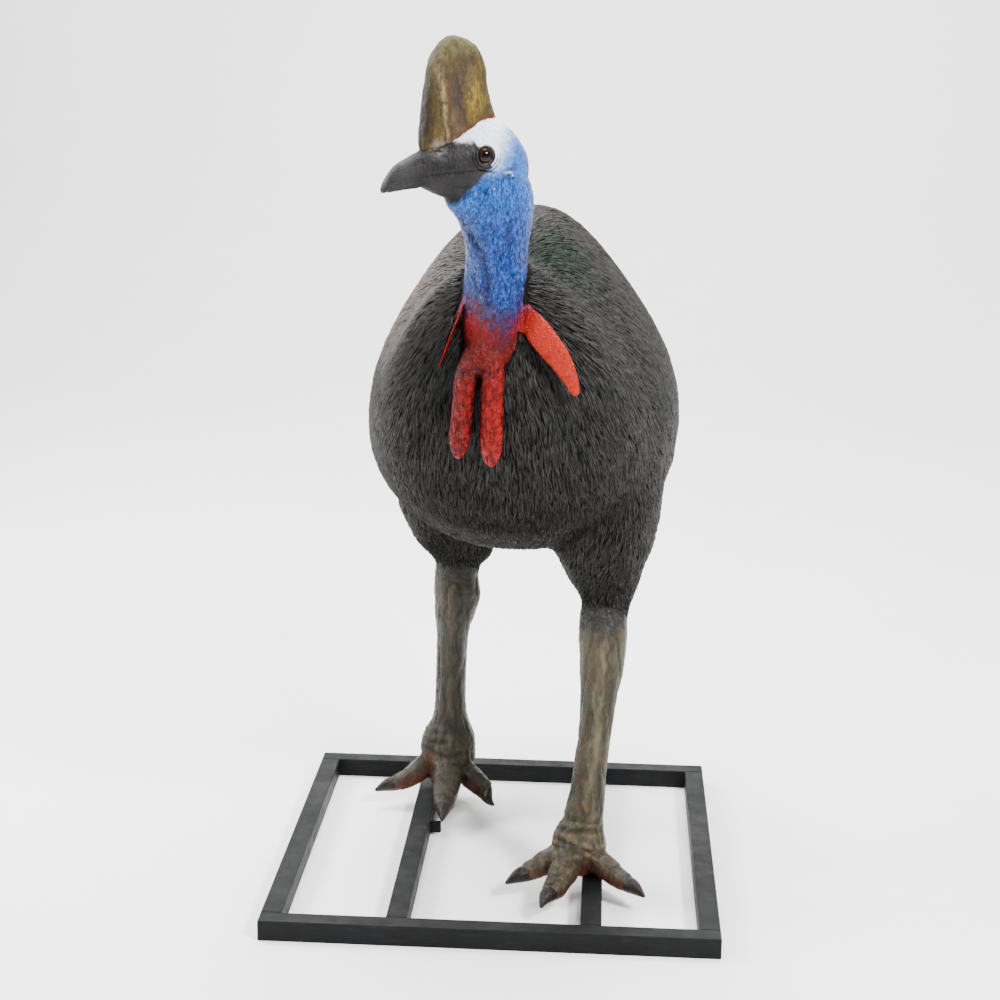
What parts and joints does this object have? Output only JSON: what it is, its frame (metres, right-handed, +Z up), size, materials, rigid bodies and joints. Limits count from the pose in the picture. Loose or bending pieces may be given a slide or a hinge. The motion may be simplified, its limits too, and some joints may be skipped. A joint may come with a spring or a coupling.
{
  "type": "cassowary statue",
  "caption": "Life-size painted resin statue of a standing cassowary, head turned, on an open stand of welded square steel tube.",
  "frame": {"origin": "on the floor, under the middle of the whole statue's bounding box", "axes": "+Z up, -Y towards the viewer, whom the bird faces, +X to the viewer's right"},
  "size_m": [0.87, 1.1232, 1.661],
  "materials": {
    "painted_steel": "satin black paint",
    "plumage_paint": "matt paint on carved resin",
    "wattle_paint": "satin paint",
    "eye_gloss": "clear gloss",
    "claw_paint": "satin paint",
    "casque_paint": "mottled satin paint",
    "bill_paint": "satin paint",
    "neck_paint": "satin paint, blue over red",
    "head_paint": "satin paint, black face, pale crown",
    "leg_paint": "mottled satin paint"
  },
  "bodies": {
    "root": {"bill_lower": "bill_paint", "bill_upper": "bill_paint", "casque": "casque_paint", "claw_left_inner": "claw_paint", "claw_left_middle": "claw_paint", "claw_left_outer": "claw_paint", "claw_right_inner": "claw_paint", "claw_right_middle": "claw_paint", "claw_right_outer": "claw_paint", "eye_left": "eye_gloss", "eye_right": "eye_gloss", "foot_left": "leg_paint", "foot_right": "leg_paint", "head": "head_paint", "lappet_left": "wattle_paint", "lappet_right": "wattle_paint", "neck": "neck_paint", "rump": "plumage_paint", "shank_left": "leg_paint", "shank_right": "leg_paint", "stand_bar_left": "painted_steel", "stand_bar_right": "painted_steel", "stand_rail_back": "painted_steel", "stand_rail_front": "painted_steel", "stand_rail_left": "painted_steel", "stand_rail_right": "painted_steel", "stand_tab_left": "painted_steel", "stand_tab_right": "painted_steel", "thigh_left": "plumage_paint", "thigh_right": "plumage_paint", "toe_left_inner": "leg_paint", "toe_left_middle": "leg_paint", "toe_left_outer": "leg_paint", "toe_right_inner": "leg_paint", "toe_right_middle": "leg_paint", "toe_right_outer": "leg_paint", "torso": "plumage_paint", "wattle_left": "wattle_paint", "wattle_right": "wattle_paint"}
  },
  "joints": []
}
